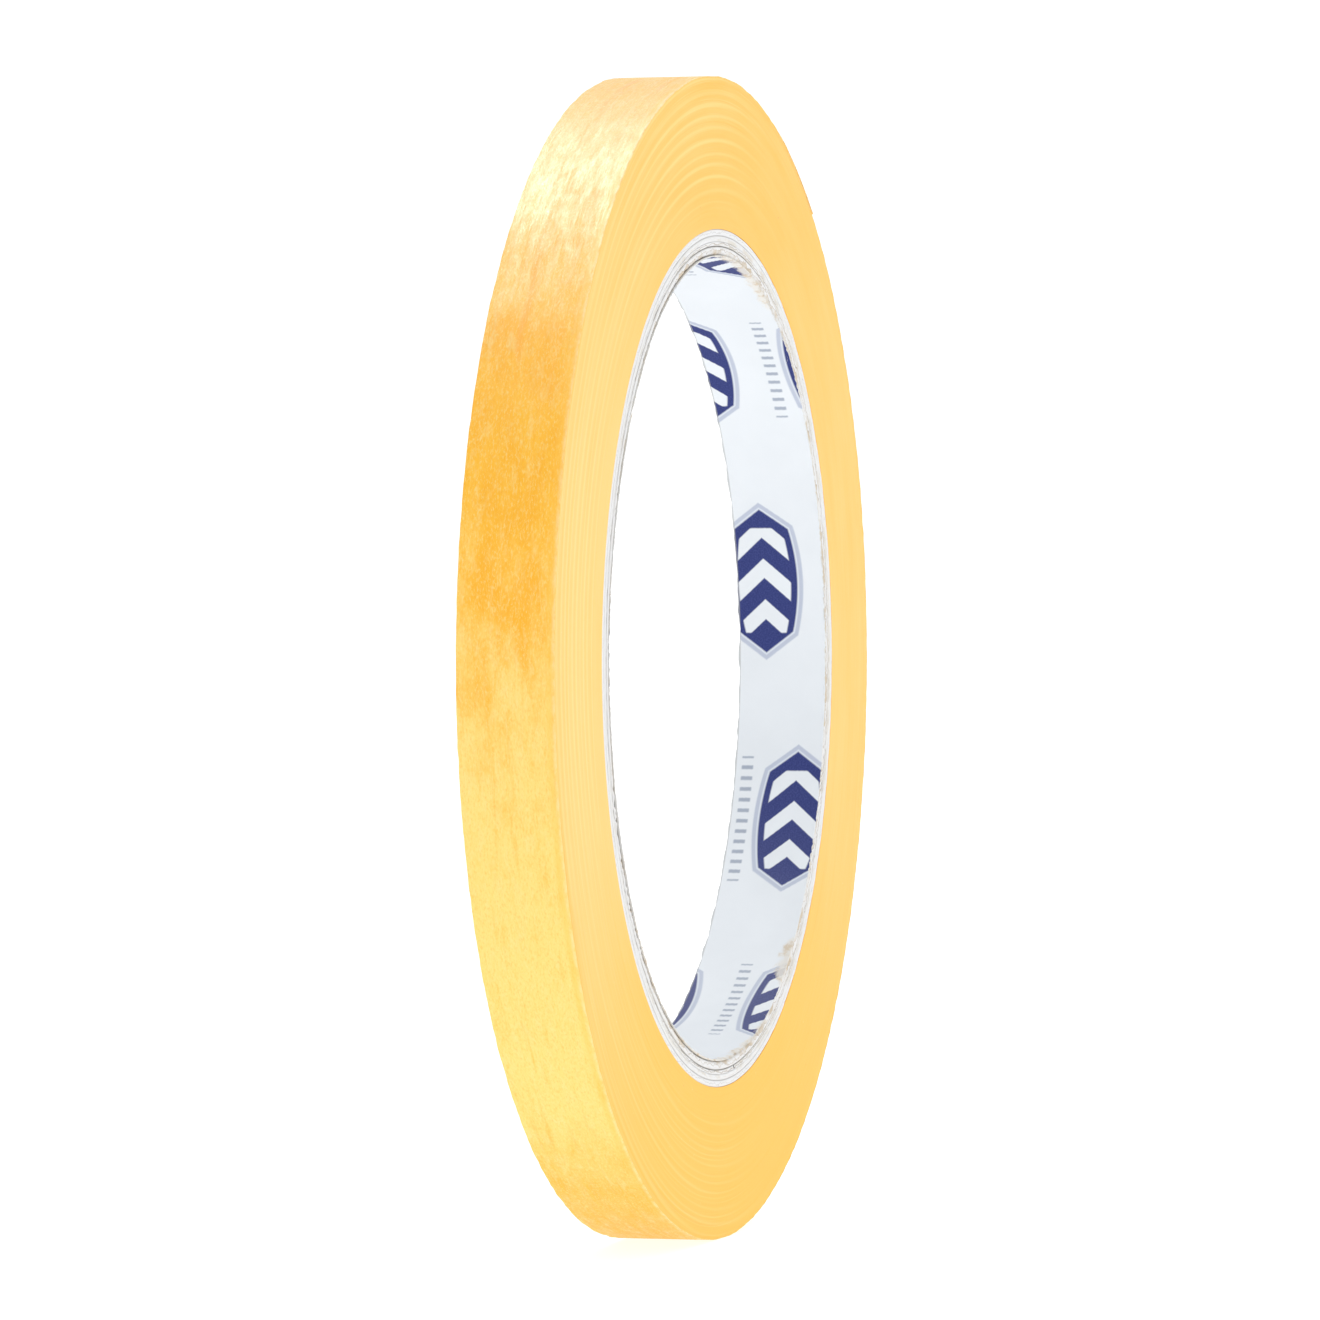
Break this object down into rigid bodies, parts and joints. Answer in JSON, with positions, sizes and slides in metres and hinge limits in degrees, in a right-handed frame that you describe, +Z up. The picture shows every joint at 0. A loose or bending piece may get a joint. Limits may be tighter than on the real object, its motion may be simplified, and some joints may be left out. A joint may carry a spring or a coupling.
{
  "type": "masking tape roll",
  "caption": "Narrow roll of yellow paper masking tape wound on a white paperboard core, standing on its rim, with a free end that lifts for peeling.",
  "frame": {"origin": "centre of the core's bore, half way across the roll's width", "axes": "+Y along the roll's axis, +Z up, with the roll standing on its rim at the lowest point"},
  "size_m": [0.1103, 0.009, 0.1104],
  "materials": {
    "core_board": "matte",
    "core_liner_paper": "satin",
    "tape_paper": "satin",
    "tape_adhesive": "gloss"
  },
  "bodies": {
    "roll": {"core_outer_ply": "core_board", "core_second_ply": "core_board", "core_third_ply": "core_board", "core_inner_ply": "core_board", "core_liner": "core_liner_paper", "tape_wound_turns": "tape_paper", "tape_outer_turn": "tape_paper"},
    "tape_end": {"tape_end_tab": "tape_paper", "tape_end_adhesive": "tape_adhesive"}
  },
  "joints": [
    {"name": "end_peel", "type": "hinge", "parent": "roll", "child": "tape_end", "pos_m": [0.02016, 0, 0.05144], "axis": [0, -1, 0], "range_deg": [0, 120]}
  ]
}
